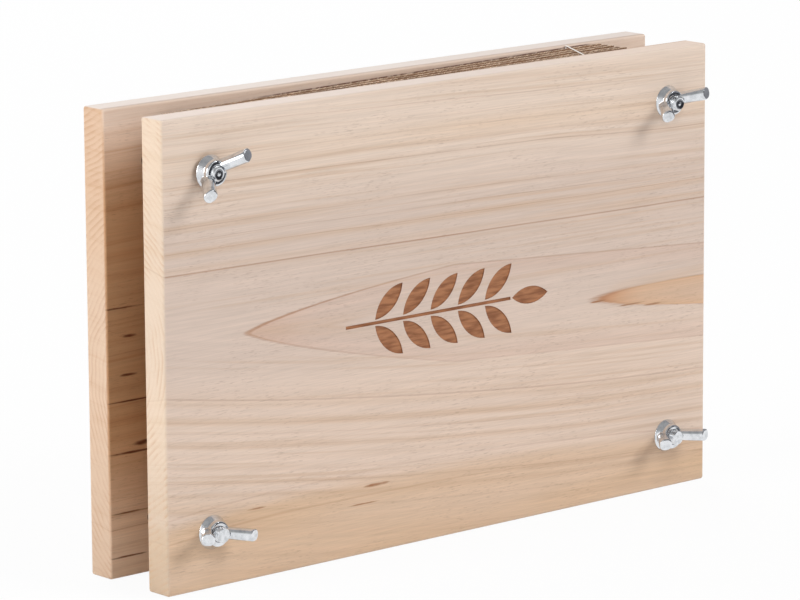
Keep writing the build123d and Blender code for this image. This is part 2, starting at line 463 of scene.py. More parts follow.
def streakMask(axes, place, streaks, face):
    ragged = clouds(place, grainLook["raggedCloud"], 3)
    total = None
    for x, z, halfLength, halfHeight in streaks:
        reach = times(ragged, grainLook["streakRagged"])
        depth = halfHeight * grainLook["streakDepth"]
        spread = ((x, halfLength), (face, depth), (z, halfHeight))
        for axis, (middle, half) in zip(axes, spread):
            out = calc("DIVIDE", minus(axis, middle), half)
            reach = timesPlus(out, out, reach)
        one = ease(reach, *grainLook["streakEdge"], 1, 0)
        total = one if total is None else calc("MAXIMUM", total, one)
    return total


def edgeHighlightMask(axes, node):
    low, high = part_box(node)
    nearness = []
    for axis in range(3):
        middle = (low[axis] + high[axis]) / 2 / mm
        half = (high[axis] - low[axis]) / 2 / mm
        out = apart(axes[axis], middle)
        nearness.append(ease(out, half - boardLook["edgeEase"], half))
    pairs = [times(nearness[a], nearness[b]) for a, b in ((0, 1), (1, 2), (0, 2))]
    return calc("MAXIMUM", calc("MAXIMUM", pairs[0], pairs[1]), pairs[2])


def endGrain(axes, place, wood, face):
    back, height = wood["endPith"]
    inward = minus(axes[1], face + back)
    upward = minus(axes[2], height)
    waver = clouds(place, grainLook["endCloud"], 3, 0.45, wood["shift"])
    radius = timesPlus(waver, grainLook["endWaver"], hypot(inward, upward))
    part = calc("FRACT", calc("DIVIDE", radius, boardLook["endPitch"]))
    line = times(ease(part, 0.3, 0.9), ease(part, 0.9, 1.0, 1, 0))
    uneven = ease(clouds(place, grainLook["endPatch"], 3, 0.6), 0.38, 0.62, 0.12, 1)
    return times(line, uneven)


def toneFaces(axes, place, node, wood, face, inner, colour):
    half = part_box(node)[1].x / mm
    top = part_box(node)[1].z / mm
    depth = boardLook["toneDepth"]
    ends = ease(calc("ABSOLUTE", axes[0]), half - depth, half)
    tops = ease(axes[2], top - boardLook["topDepth"], top)
    inward = apart(axes[1], inner)
    inside = ease(inward, 0.0, depth, 1, 0)
    # painted shade on the inner faces in the gap between the boards
    low, high = boardLook["gapShadeTopFade"]
    gapShade = times(inside, ease(axes[2], low, high, 1, 0))
    gapShade = times(gapShade, ease(axes[2], *boardLook["gapShadeFootFade"], boardLook["gapShadeLeast"], 1))
    # painted light along the top of the inner faces
    litLip = times(inside, ease(axes[2], boardLook["litLipFrom"], high, 0, boardLook["litLipShare"]))
    # painted shade where the inner top edge rounds over
    worn = times(tops, ease(inward, *boardLook["edgeShadeDepth"], 1, 0))
    endShade = ease(axes[2], 0, boardLook["endFootTo"], wood["endFoot"], 1)
    endWood = tint(1.0, wood["endWood"], endShade, "MULTIPLY")
    colour = tint(times(ends, boardLook["endShare"]), colour, endWood)
    lines = times(endGrain(axes, place, wood, face), wood["endLines"])
    colour = tint(times(ends, lines), colour, wood["endLine"])
    endTop = times(ends, ease(axes[2], *boardLook["endTopFrom"]))
    colour = tint(endTop, colour, wood["endTop"], "MULTIPLY")
    # the top faces: wood colour with painted shade
    topShare = ease(axes[0], *wood["topFade"], boardLook["topShare"], boardLook["topLeast"])
    topShare = times(tops, topShare)
    colour = tint(topShare, colour, wood["topWoodAndShade"])
    colour = tint(tops, colour, wood["topShadeTone"], "MULTIPLY")
    colour = tint(gapShade, colour, wood["gapShadeTone"], "MULTIPLY")
    # painted light on the inner faces
    gapLight = ease(axes[2], *boardLook["gapLightTop"])
    gapLight = times(gapLight, ease(axes[2], *boardLook["gapLightFoot"]))
    colour = tint(inside, colour, gapLight, "MULTIPLY")
    colour = tint(litLip, colour, boardLook["litLipColour"])
    colour = tint(worn, colour, boardLook["wornTone"], "MULTIPLY")
    # the stack's painted shadow on the rear board
    if wood["stackShadowed"]:
        colour = tint(paintedStackShadow(axes, inside), colour, boardLook["stackShadow"])
    return colour


# painted shadow: a dark line just under the top of the stack, on the rear board's inner face
def paintedStackShadow(axes, inside):
    line = timesPlus(axes[0], boardLook["stackShadowSlope"], boardLook["stackShadowHeight"])
    rise = minus(axes[2], line)
    stackShadow = ease(rise, *boardLook["stackShadowRise"])
    stackShadow = times(stackShadow, ease(rise, *boardLook["stackShadowFall"]))
    broken = ease(clouds(axes[0], grainLook["stackShadowCloud"], 3, 0.6), *boardLook["stackShadowBreaks"])
    faintTo, fullFrom, fullTo, faintFrom = boardLook["stackShadowReach"]
    reach = times(broken, ease(axes[0], faintTo, fullFrom))
    reach = times(reach, ease(axes[0], fullTo, faintFrom, 1, 0))
    return times(times(stackShadow, reach), inside)


def burnIn(axes, place, face, colour):
    sunk = minus(axes[1], face)
    start, full = (sprigLook["depth"] * part for part in sprigLook["burnFrom"])
    fade, stop = (sprigLook["depth"] * part for part in sprigLook["burnTo"])
    share = times(ease(sunk, start, full), ease(sunk, fade, stop, 1, 0))
    spread = ((0, 0.0, sprigLook["halfLength"]), (2, sprigLook["middle"], sprigLook["halfHeight"]))
    for axis, middle, half in spread:
        out = apart(axes[axis], middle)
        share = times(share, calc("LESS_THAN", out, half))
    uneven = ease(clouds(place, grainLook["burnCloud"], 3), 0.35, 0.7)
    return tint(share, colour, tint(uneven, sprigLook["burn"], sprigLook["burnDark"]))


def makeWood(name, wood, node, face, inner, carved=False):
    material, tree, shader, place = newMaterial(name)
    axes = axesOf(place)
    shift = wood["shift"]
    radius, below, hill = ringField(axes, place, wood, face)
    line, band = lateWood(place, radius, below, wood)
    unrolled = joined(tree, {0: axes[0], 1: radius, 2: 0.0})
    threads = clouds(unrolled, grainLook["threadCloud"], 3, 0.55, shift)  # these follow the rings
    fibres = clouds(place, grainLook["fibreCloud"], 4, 0.6, shift)
    patches = clouds(place, grainLook["patchCloud"], 2, 0.5, shift)
    ticks = ease(clouds(place, grainLook["tickCloud"], 1, 0.5, shift), 0.6, 0.72)
    zones = ease(clouds(place, grainLook["zoneCloud"], 2, shift=shift), 0.38, 0.62)
    ticks = times(ticks, zones)
    upper = ease(axes[2], boardLook["midBelow"], boardLook["paleAbove"])
    colour = tint(upper, wood["midWood"], wood["paleWood"])
    colour = tint(ease(axes[2], *boardLook["lowBelow"], 1, 0), colour, wood["lowWood"])
    ringRadius, ringHalf, ringShare = wood["yellowRing"]
    fromRing = apart(radius, ringRadius)
    warm = ease(fromRing, 0, ringHalf, ringShare, 0)
    warm = times(warm, ease(patches, 0.35, 0.6, 0.3, 1))
    foot = times(ease(hill, 0, wood["warmDepth"]), ease(hill, *grainLook["footInside"]))
    foot = times(foot, ease(patches, 0.36, 0.62, 0.45, 0.95))
    warm = calc("MAXIMUM", warm, foot)
    colour = tint(warm, colour, wood["warmWood"])
    colour = tint(times(band, wood["bandShare"]), colour, wood["bandWood"])
    for depth, strength in wood["hillLines"]:
        away = apart(hill, depth)
        faint = ease(away, *grainLook["hillLineHalf"], strength, 0)
        faint = times(faint, ease(patches, 0.4, 0.6, 0.4, 1))
        colour = tint(faint, colour, wood["archLine"])
    colour = addArches(axes, fibres, wood, colour)
    colour = tint(times(line, wood["lineShare"]), colour, wood["lateWood"])
    colour = tint(times(ticks, grainLook["tickShare"]), colour, wood["fleck"])
    streaks = streakMask(axes, place, wood["streaks"], face)
    colour = tint(streaks, colour, wood["streakColour"])
    colour = tint(ease(threads, 0.26, 0.5, grainLook["threadShare"], 0), colour, wood["bandWood"])
    shine = ease(threads, 0.45, 0.75, 1, grainLook["threadShine"])
    colour = tint(1.0, colour, shine, "MULTIPLY")
    shade = ease(fibres, 0.25, 0.75, *grainLook["fibreShades"])
    colour = tint(1.0, colour, shade, "MULTIPLY")
    # painted highlight along the board edges
    edges = times(edgeHighlightMask(axes, node), boardLook["edgeHighlightShare"])
    colour = tint(edges, colour, boardLook["edgeHighlight"])
    colour = toneFaces(axes, place, node, wood, face, inner, colour)
    if carved:
        colour = burnIn(axes, place, face, colour)
    rough = ease(fibres, 0.2, 0.8, *grainLook["rough"])
    shader.inputs["Specular IOR Level"].default_value = grainLook["sheen"]
    height = timesPlus(line, 0.5, timesPlus(threads, 0.5, fibres))
    finishLook(tree, shader, colour, rough, height, grainLook["bump"])
    return material


frontFace, frontInner = (corner.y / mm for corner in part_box("front_board"))
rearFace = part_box("rear_board")[0].y / mm
frontPine = makeWood("pale_pine_front", frontWood, "front_board", frontFace, frontInner, carved=True)
rearPine = makeWood("tan_pine_rear", rearWood, "rear_board", rearFace, rearFace)
for node, material in (("front_board", frontPine), ("rear_board", rearPine)):
    nodes[node].data.materials.clear()
    nodes[node].data.materials.append(material)
print("boards finished")


# zinc plated steel

zincLook = {
    "bright": paint(228, 230, 233),
    "dull": paint(206, 209, 213),
    "stain": paint(96, 98, 100),
    # painted shade: a dark ring on the dished ends of the upper bolts
    "tip": paint(140, 142, 147),
    "shank": paint(104, 105, 108),    # painted shadow between the boards
    "head": paint(196, 199, 204),
    "headDull": paint(148, 151, 157),
    "tipRadius": (1.85, 2.05),
    "tipShadeHole": (0.6, 1.1),            # the middle of the tip stays bright
    "tipShadeDepth": (0.7, 0.8),
    "shankShadowShare": 0.85,
    "headCloud": (3, 3, 3),
    # painted shade: the domed heads darken towards the rim
    "rimShadeFrom": 0.55,                  # share of the head's radius
    "rimShadeShare": 0.8,
    "filmCloud": (5, 5, 5),
    "pitCloud": (0.4, 0.4, 0.4),
    "pitShare": 0.3,
    "rough": (0.07, 0.18),
    "bump": (0.05, 0.12),
    "nut": (2.6, 1.0),                # size of the mottle and share of the roughness
    "bolt": (1.6, 1.3),
}


def toneAndShadeBolt(place, colour):
    low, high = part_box("bolt_top_right")
    middle = (low + high) / 2 / mm
    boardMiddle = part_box("front_board")[1].z / 2 / mm
    axes = axesOf(place)
    across = minus(calc("ABSOLUTE", axes[0]), middle.x)
    upward = minus(axes[2], boardMiddle)
    aside = minus(calc("ABSOLUTE", upward), middle.z - boardMiddle)
    radius = hypot(across, aside)
    # painted shade on the ring of the upper bolts' dished ends
    rim = ease(radius, *zincLook["tipRadius"], 1, 0)
    share = times(rim, ease(radius, *zincLook["tipShadeHole"]))
    depth = minus(axes[1], low.y / mm)
    share = times(share, ease(depth, *zincLook["tipShadeDepth"], 1, 0))
    share = times(share, ease(upward, -1, 1, 0.0, 1))  # on the upper bolts only
    colour = tint(share, colour, zincLook["tip"])
    # painted shadow on the shank between the boards
    shank = times(ease(axes[1], frontInner, frontInner + 1), zincLook["shankShadowShare"])
    colour = tint(shank, colour, zincLook["shank"])
    top = high.y / mm - boltLook["headHeight"]
    worn = ease(clouds(place, zincLook["headCloud"], 4, 0.6), 0.35, 0.65)
    # painted shade towards the rim of the domed head
    reach = boltLook["headRadius"]
    rim = ease(radius, reach * zincLook["rimShadeFrom"], reach, 0, zincLook["rimShadeShare"])
    head = tint(calc("MAXIMUM", worn, rim), zincLook["head"], zincLook["headDull"])
    return tint(ease(axes[1], top, top + 0.1), colour, head)


def makeZinc(name, kind):
    material, tree, shader, place = newMaterial(name)
    grainSize, share = zincLook[kind]
    mottle = clouds(place, (grainSize,) * 3, 3, 0.5)
    film = clouds(place, zincLook["filmCloud"], 3, 0.5)
    pits = ease(clouds(place, zincLook["pitCloud"], 2), 0.68, 0.78)
    pits = times(pits, zincLook["pitShare"])
    colour = tint(ease(mottle, 0.35, 0.7), zincLook["bright"], zincLook["dull"])
    colour = tint(pits, colour, zincLook["stain"])
    if kind == "bolt":
        colour = toneAndShadeBolt(place, colour)
    shader.inputs["Metallic"].default_value = 1.0
    rough = ease(film, 0.3, 0.7, *(level * share for level in zincLook["rough"]))
    finishLook(tree, shader, colour, rough, minus(mottle, pits), zincLook["bump"])
    return material


# plain meshes from geometry node trees

def newTree(name, inputs):
    tree = bpy.data.node_groups.new(name, "GeometryNodeTree")
    tree.interface.new_socket("Geometry", in_out="OUTPUT", socket_type="NodeSocketGeometry")
    for label, kind in inputs.items():
        tree.interface.new_socket(label, in_out="INPUT", socket_type="NodeSocket" + kind)
    tree.interface.new_socket("Finish", in_out="INPUT", socket_type="NodeSocketMaterial")
    return tree, addNode(tree, "NodeGroupInput").outputs


def endTree(tree, group, geometry, chosen=True):
    real = shape(tree, "RealizeInstances", {0: geometry})
    sockets = {"Geometry": real, "Selection": chosen, "Material": group["Finish"]}
    addNode(tree, "NodeGroupOutput", {0: shape(tree, "SetMaterial", sockets)})


def sizesOf(look):  # the lengths named with a capital are inputs of a tree
    inputs = {key: value for key, value in look.items() if key[0].isupper()}
    return {key: value * mm for key, value in inputs.items() if isinstance(value, float)}


def growPiece(name, tree, values):
    piece = addPiece(name, bpy.data.meshes.new(name))
    modifier = piece.modifiers.new("grow", "NODES")
    modifier.node_group = tree
    for item in tree.interface.items_tree:
        if item.item_type == "SOCKET" and item.in_out == "INPUT":
            modifier[item.identifier] = values[item.name]
    return bakeModifiers(piece)


def bakeModifiers(piece):
    depsgraph = bpy.context.evaluated_depsgraph_get()
    mesh = bpy.data.meshes.new_from_object(piece.evaluated_get(depsgraph), depsgraph=depsgraph)
    mesh.name = piece.name
    if mesh.materials and mesh.materials[0] is None:  # the joined layers leave an empty first slot
        mesh.materials.pop(index=0)
    piece.modifiers.clear()
    piece.data = mesh
    return piece


def dress(piece, node, body):
    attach(piece, body)
    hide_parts(node)
    return piece


# bolts: rolled thread, plain shank, square neck and domed head

boltLook = {
    "Major Radius": 2.93,
    "Thread Depth": 0.5,
    "Pitch": 1.0,
    "Thread Length": 30.0,
    "Plain Length": 22.0,
    "Tip Radius": 2.3,
    "Tip Dish": 0.22,
    "lowTipRadius": 2.7,     # the lower bolts have sawn ends
    "lowTipDish": 0.06,
    "Around": 33,
    "Tip Rows": 10,
    "rowsPerTurn": 10,
    "ridge": (0.1, 0.88),    # foot and crest of the thread's flank
    "sharpAngle": 38,
    "neckWidth": 6.5,
    "neckLength": 4.6,
    "neckBevel": 0.35,
    "headRadius": 8.25,
    "headHeight": 3.9,
    "headRim": 0.5,
    "headSteps": 14,
    "headTurns": 48,
}


def boltTree():
    inputs = dict.fromkeys(sizesOf(boltLook), "Float")
    inputs.update({"Around": "Int", "Thread Rows": "Int", "Tip Rows": "Int"})
    tree, group = newTree("rolled_thread", inputs)
    rows = plus(plus(group["Thread Rows"], group["Tip Rows"]), 3.0)
    sockets = {"Size X": 1.0, "Size Y": 1.0, "Vertices X": group["Around"], "Vertices Y": rows}
    sheet = shape(tree, "MeshGrid", sockets)
    spot = axesOf(shape(tree, "InputPosition"))
    turn = plus(spot[0], 0.5)
    row = times(plus(spot[1], 0.5), minus(rows, 1.0))
    row = minus(calc("ROUND", row), group["Tip Rows"])  # rows below 0 are the tip's dish
    step = calc("DIVIDE", group["Thread Length"], group["Thread Rows"])
    along = calc("MINIMUM", calc("MAXIMUM", row, 0.0), group["Thread Rows"])
    along = times(along, step)
    plain = calc("GREATER_THAN", row, plus(group["Thread Rows"], 0.5))
    phase = calc("FRACT", minus(calc("DIVIDE", along, group["Pitch"]), turn))
    ridge = ease(apart(times(phase, 2.0), 1.0), *boltLook["ridge"])
    lastTurn = minus(group["Thread Length"], group["Pitch"])
    runOut = ease(along, lastTurn, group["Thread Length"])
    groove = times(minus(1.0, ridge), minus(1.0, runOut))
    groove = times(groove, minus(1.0, plain))
    radius = minus(group["Major Radius"], times(groove, group["Thread Depth"]))
    radius = calc("MINIMUM", radius, plus(along, group["Tip Radius"]))
    last = calc("GREATER_THAN", row, plus(group["Thread Rows"], 1.5))
    tip = calc("MAXIMUM", calc("DIVIDE", row, times(group["Tip Rows"], -1.0)), 0.0)
    capped = calc("MAXIMUM", tip, last)
    radius = times(radius, minus(1.0, capped))
    along = timesPlus(plain, group["Plain Length"], along)
    dish = times(times(tip, 4.0), minus(1.0, tip))
    along = timesPlus(dish, group["Tip Dish"], along)
    angle = times(turn, 2 * math.pi)
    sockets = {
        0: times(radius, calc("COSINE", angle)),
        1: along,
        2: times(radius, calc("SINE", angle)),
    }
    place = joined(tree, sockets)
    rolled = shape(tree, "SetPosition", {"Geometry": sheet, "Position": place})
    endTree(tree, group, shape(tree, "MergeByDistance", {"Geometry": rolled, "Distance": mm * mm}))
    return tree


def addHead(form, look, tipToHead):
    neck = bmesh.ops.create_cube(form, size=1.0)["verts"]
    size = (look["neckWidth"] * mm, look["neckLength"] * mm, look["neckWidth"] * mm)
    bmesh.ops.scale(form, vec=size, verts=neck)
    bmesh.ops.translate(form, vec=(0, (tipToHead - look["neckLength"] / 2) * mm, 0), verts=neck)
    edges = {edge for corner in neck for edge in corner.link_edges}
    upright = [edge for edge in edges if abs(edge.verts[0].co.y - edge.verts[1].co.y) > mm]
    bevel = look["neckBevel"] * mm
    bmesh.ops.bevel(form, geom=upright, offset=bevel, segments=3, affect="EDGES", profile=0.5)
    dome = (look["headRadius"] ** 2 + look["headHeight"] ** 2) / (2 * look["headHeight"])
    rimLift = look["headRim"]
    outline = [(0.0, 0.0), (look["headRadius"] - rimLift, 0.0)]
    for step in range(look["headSteps"] + 1):
        rise = rimLift + (look["headHeight"] - rimLift) * step / look["headSteps"]
        reach = math.sqrt(max(dome**2 - (dome - look["headHeight"] + rise) ** 2, 0.0))
        outline.append((reach, rise))
    points = [form.verts.new((reach * mm, (tipToHead + rise) * mm, 0)) for reach, rise in outline]
    edges = [form.edges.new(pair) for pair in zip(points, points[1:])]
    turn = {"axis": (0, 1, 0), "cent": (0, 0, 0), "steps": look["headTurns"], "angle": 2 * math.pi}
    bmesh.ops.spin(form, geom=points + edges, **turn)


def makeBolt(corner, tree, look):
    values = sizesOf(look)
    turns = look["Thread Length"] / look["Pitch"]
    values.update({"Around": look["Around"], "Tip Rows": look["Tip Rows"], "Finish": boltZinc})
    values["Thread Rows"] = int(turns * look["rowsPerTurn"])
    if corner.startswith("bottom"):
        values["Tip Radius"] = look["lowTipRadius"] * mm
        values["Tip Dish"] = look["lowTipDish"] * mm
    piece = growPiece("threaded_bolt_" + corner, tree, values)
    low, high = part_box("bolt_" + corner)
    tipToHead = (high.y - low.y) / mm - look["headHeight"]
    form = bmesh.new()
    form.from_mesh(piece.data)
    addHead(form, look, tipToHead)
    bmesh.ops.remove_doubles(form, verts=form.verts, dist=mm * mm)
    bmesh.ops.recalc_face_normals(form, faces=form.faces)
    middle = (low + high) / 2
    bmesh.ops.translate(form, vec=(middle.x, low.y, middle.z), verts=form.verts)
    form.to_mesh(piece.data)
    form.free()
    piece.data.shade_smooth()
    piece.data.set_sharp_from_angle(angle=math.radians(look["sharpAngle"]))
    return dress(piece, "bolt_" + corner, "rear_frame")


boltZinc = makeZinc("zinc_bolt_satin", "bolt")
threadTree = boltTree()
for corner in corners:
    makeBolt(corner, threadTree, boltLook)
print("bolts threaded")


# wing nuts: the turned and cast shape with its corners flowing into each other

nutLook = {"voxel": 0.18, "softRounds": 3, "softShare": 0.5}


def makeNut(corner, look):
    node = "wing_nut_" + corner
    piece = addPiece("cast_wing_nut_" + corner, nodes[node].data.copy())
    form = bmesh.new()
    form.from_mesh(piece.data)
    bmesh.ops.remove_doubles(form, verts=form.verts, dist=mm * mm)
    form.to_mesh(piece.data)
    form.free()
    remesh = piece.modifiers.new("flow", "REMESH")
    remesh.mode = "VOXEL"
    remesh.voxel_size = look["voxel"] * mm
    remesh.use_smooth_shade = True
    soften = piece.modifiers.new("soften", "SMOOTH")
    soften.iterations = look["softRounds"]
    soften.factor = look["softShare"]
    bakeModifiers(piece)
    piece.data.materials.clear()
    piece.data.materials.append(nutZinc)
    piece.data.shade_smooth()
    return dress(piece, node, "nut_" + corner)


nutZinc = makeZinc("zinc_nut_bright", "nut")
for corner in corners:
    makeNut(corner, nutLook)
print("wing nuts cast")


# sheets between the boards: fluted cards and blotting papers

cardLook = {
    "Width": 225.0,
    "Height": 175.4,
    "Thickness": 1.8,
    "Liner": 0.36,
    "Medium": 0.34,
    "Flute Pitch": 3.2,
    "Fray": 0.3,
    "stepsPerFlute": 10,
    # painted light and shade: liners and core are dark for the shade in the grooves and flute channels,
    # the cut faces pale for the light on the tops
    "liner": paint(136, 97, 68),
    "linerDark": paint(108, 75, 52),
    "cut": paint(255, 230, 202),
    "fibre": paint(96, 70, 50),
    "speck": paint(200, 172, 144),
    "core": paint(92, 66, 48),
    "coreDark": paint(66, 46, 34),
    "coreCut": paint(236, 200, 168),
    "phaseStep": 0.382,
    "sink": 0.2,                # share of the liner, between the flutes
}
paperLook = {
    "Width": 220.0,
    "Height": 170.4,
    "Thickness": 0.4,
    "Fray": 0.35,
    "steps": 160,
    "pulp": paint(226, 214, 194),
    "pulpDark": paint(204, 188, 164),
    "fibre": paint(178, 156, 126),
}
pulpLook = {
    "frayCloud": (2.4 * mm, 1.5 * mm, 30 * mm),
    "cloud": (18, 18, 18),
    "hairCloud": (1.6, 1.6, 0.25),
    "crossCloud": (0.3, 1.2, 1.9),
    "crossShift": (4.0, 1.0, 9.0),
    "dotCloud": (0.5, 0.5, 0.5),
    "cutCloud": (5, 2, 2),
    "rough": (0.95, 0.8),
    "sheen": 0.2,
    "bump": (0.05, 0.4),
    "linerGrain": 0.5,
    "coreGrain": 0.4,
    "paperGrain": 0.25,
}


def sweepSheet(tree, group, steps, thickness, bend):
    half = calc("DIVIDE", group["Width"], 2.0)
    start = joined(tree, {0: times(half, -1.0)})
    end = joined(tree, {0: half})
    path = shape(tree, "CurvePrimitiveLine", {"Start": start, "End": end})
    path = shape(tree, "ResampleCurve", {"Curve": path, "Count": steps})
    path = shape(tree, "SetPosition", {"Geometry": path, "Offset": joined(tree, {1: bend})})
    path = shape(tree, "SetCurveNormal", {"Curve": path}, mode="Z_UP")
    sockets = {"Width": thickness, "Height": group["Height"]}
    section = shape(tree, "CurvePrimitiveQuadrilateral", sockets)
    sockets = {"Curve": path, "Profile Curve": section, "Fill Caps": True}
    return shape(tree, "CurveToMesh", sockets)


def frayEdges(tree, group, geometry):
    place = shape(tree, "InputPosition")
    up = axesOf(place)[2]
    rough = clouds(place, pulpLook["frayCloud"], 3, 0.7)
    inward = times(times(rough, group["Fray"]), calc("SIGN", up))
    offset = joined(tree, {2: times(inward, -1.0)})
    return shape(tree, "SetPosition", {"Geometry": geometry, "Offset": offset})


def markCuts(tree, geometry):
    upright = axesOf(shape(tree, "InputNormal"))[2]
    isCut = calc("GREATER_THAN", calc("ABSOLUTE", upright), 0.5)
    sockets = {"Geometry": geometry, "Name": "cut", "Value": isCut}
    return shape(tree, "StoreNamedAttribute", sockets, data_type="FLOAT", domain="FACE")


def cardTree():
    inputs = dict.fromkeys(sizesOf(cardLook), "Float")
    inputs.update({"Phase": "Float", "Steps": "Int", "Core Finish": "Material"})
    tree, group = newTree("fluted_card", inputs)
    x = axesOf(shape(tree, "InputPosition"))[0]
    turns = plus(calc("DIVIDE", x, group["Flute Pitch"]), group["Phase"])
    wave = calc("SINE", times(turns, 2 * math.pi))
    outer = calc("DIVIDE", minus(group["Thickness"], group["Liner"]), 2.0)
    layers = plus(group["Liner"], group["Medium"])
    swing = minus(outer, calc("DIVIDE", layers, 2.0))
    core = sweepSheet(tree, group, group["Steps"], group["Medium"], times(wave, swing))
    layers = [shape(tree, "SetMaterial", {"Geometry": core, "Material": group["Core Finish"]})]
    for side in (1.0, -1.0):
        dip = timesPlus(wave, 0.5 * side, -0.5)  # the liner sinks a little between the flutes
        dip = times(dip, times(group["Liner"], cardLook["sink"]))
        bend = times(plus(outer, dip), side)
        layers.append(sweepSheet(tree, group, group["Steps"], group["Liner"], bend))
    join = addNode(tree, "GeometryNodeJoinGeometry")
    for layer in layers:
        tree.links.new(layer, join.inputs[0])
    isCore = shape(tree, "MaterialSelection", {"Material": group["Core Finish"]})
    isLiner = addNode(tree, "FunctionNodeBooleanMath", {0: isCore}, operation="NOT").outputs[0]
    endTree(tree, group, frayEdges(tree, group, markCuts(tree, join.outputs[0])), isLiner)
    return tree


def paperTree():
    inputs = dict.fromkeys(sizesOf(paperLook), "Float")
    tree, group = newTree("blotting_sheet", {**inputs, "Steps": "Int"})
    sheet = sweepSheet(tree, group, group["Steps"], group["Thickness"], 0.0)
    endTree(tree, group, frayEdges(tree, group, markCuts(tree, sheet)))
    return tree


def makePulp(name, look, tones, grain):
    material, tree, shader, place = newMaterial(name)
    base, dark, fibre, speck, cut = (look[tone] for tone in tones)
    cloud = clouds(place, pulpLook["cloud"], 4, 0.6)
    hair = clouds(place, pulpLook["hairCloud"], 3, 0.6)
    crossHair = clouds(place, pulpLook["crossCloud"], 3, 0.6, pulpLook["crossShift"])
    dots = ease(clouds(place, pulpLook["dotCloud"], 2), 0.66, 0.76)
    colour = tint(ease(cloud, 0.3, 0.7), base, dark)
    isCut = addNode(tree, "ShaderNodeAttribute", attribute_name="cut").outputs["Fac"]
    patchy = ease(clouds(place, pulpLook["cutCloud"], 3, 0.6), 0.3, 0.62, 0.25, 1)
    # the cut faces take the pale colour: painted light on the tops of the sheets
    colour = tint(times(isCut, patchy), colour, cut)
    colour = tint(ease(hair, 0.55, 0.75, 0, grain), colour, fibre)
    colour = tint(ease(crossHair, 0.57, 0.75, 0, grain), colour, speck)
    colour = tint(times(dots, grain), colour, fibre)
    rough = ease(hair, 0.2, 0.8, *pulpLook["rough"])
    shader.inputs["Specular IOR Level"].default_value = pulpLook["sheen"]
    finishLook(tree, shader, colour, rough, plus(hair, crossHair), pulpLook["bump"])
    return material


def standSheet(piece, node, look):
    low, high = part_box(node)
    width, height = look["Width"] * mm, look["Height"] * mm
    boxWidth, boxHeight = high.x - low.x, high.z - low.z
    lean = math.asin((boxHeight * width - boxWidth * height) / (width**2 - height**2))
    piece.data.transform(Matrix.Translation((low + high) / 2) @ Matrix.Rotation(-lean, 4, "Y"))
    return dress(piece, node, node)


linerTones = ("liner", "linerDark", "fibre", "speck", "cut")
coreTones = ("core", "coreDark", "fibre", "liner", "coreCut")
paperTones = ("pulp", "pulpDark", "fibre", "pulp", "pulp")
kraft = makePulp("kraft_card", cardLook, linerTones, pulpLook["linerGrain"])
kraftCore = makePulp("kraft_core", cardLook, coreTones, pulpLook["coreGrain"])
blotting = makePulp("blotting_pulp", paperLook, paperTones, pulpLook["paperGrain"])
flutes = cardTree()
leaves = paperTree()
for node in sorted(nodes):
    if node.startswith("card_"):
        values = sizesOf(cardLook)
        values["Steps"] = int(cardLook["Width"] / cardLook["Flute Pitch"] * cardLook["stepsPerFlute"])
        values["Phase"] = int(node.split("_")[1]) * cardLook["phaseStep"]
        values.update({"Finish": kraft, "Core Finish": kraftCore})
        standSheet(growPiece("fluted_" + node, flutes, values), node, cardLook)
    elif node.startswith("paper_"):
        values = sizesOf(paperLook)
        values["Steps"] = paperLook["steps"]
        values["Finish"] = blotting
        standSheet(growPiece("blotting_" + node, leaves, values), node, paperLook)
print("sheets stacked")


# white elastic round the stack

bandLook = {
    "rearX": 95.0,
    "frontX": 84.0,
    "Width": 0.7,
    "Thickness": 0.18,
    "Corner": 0.3,
    "boardGap": 0.1,
    "slopeShare": 0.0178,
    "frontSheet": "card_6",
    "cornerSteps": 6,
    "weave": {"Scale": 1.1, "Distortion": 1.5, "Detail": 2.0},
    "fuzzCloud": (0.4, 0.4, 0.4),
    "fuzzShare": 0.35,
    "rough": (0.9, 0.7),
    "bump": (0.05, 0.5),
    "thread": paint(252, 248, 242),
    "shadow": paint(230, 224, 216),
}


def bandTree():
    points = [f"Point {count}" for count in range(1, 5)]
    inputs = {**dict.fromkeys(points, "Vector"), **dict.fromkeys(sizesOf(bandLook), "Float")}
    tree, group = newTree("elastic_loop", inputs)
    sockets = {point: group[point] for point in points}
    loop = shape(tree, "CurvePrimitiveQuadrilateral", sockets, mode="POINTS")
    sockets = {"Curve": loop, "Radius": group["Corner"], "Count": bandLook["cornerSteps"]}
    loop = shape(tree, "FilletCurve", sockets, mode="POLY")
    loop = shape(tree, "SetCurveNormal", {"Curve": loop, "Normal": (1, 0, 0)}, mode="FREE")
    sockets = {"Width": group["Width"], "Height": group["Thickness"]}
    strip = shape(tree, "CurvePrimitiveQuadrilateral", sockets)
    endTree(tree, group, shape(tree, "CurveToMesh", {"Curve": loop, "Profile Curve": strip}))
    return tree


def makeElastic(name, look):
    material, tree, shader, place = newMaterial(name)
    sockets = {"Vector": place, **look["weave"]}
    weave = addNode(tree, "ShaderNodeTexWave", sockets, bands_direction="DIAGONAL").outputs[0]
    fuzz = clouds(place, look["fuzzCloud"], 3)
    colour = tint(ease(weave, 0.2, 0.8), look["shadow"], look["thread"])
    colour = tint(ease(fuzz, 0.5, 0.8, 0, look["fuzzShare"]), colour, look["shadow"])
    rough = ease(fuzz, 0.2, 0.8, *look["rough"])
    finishLook(tree, shader, colour, rough, plus(weave, fuzz), look["bump"])
    return material


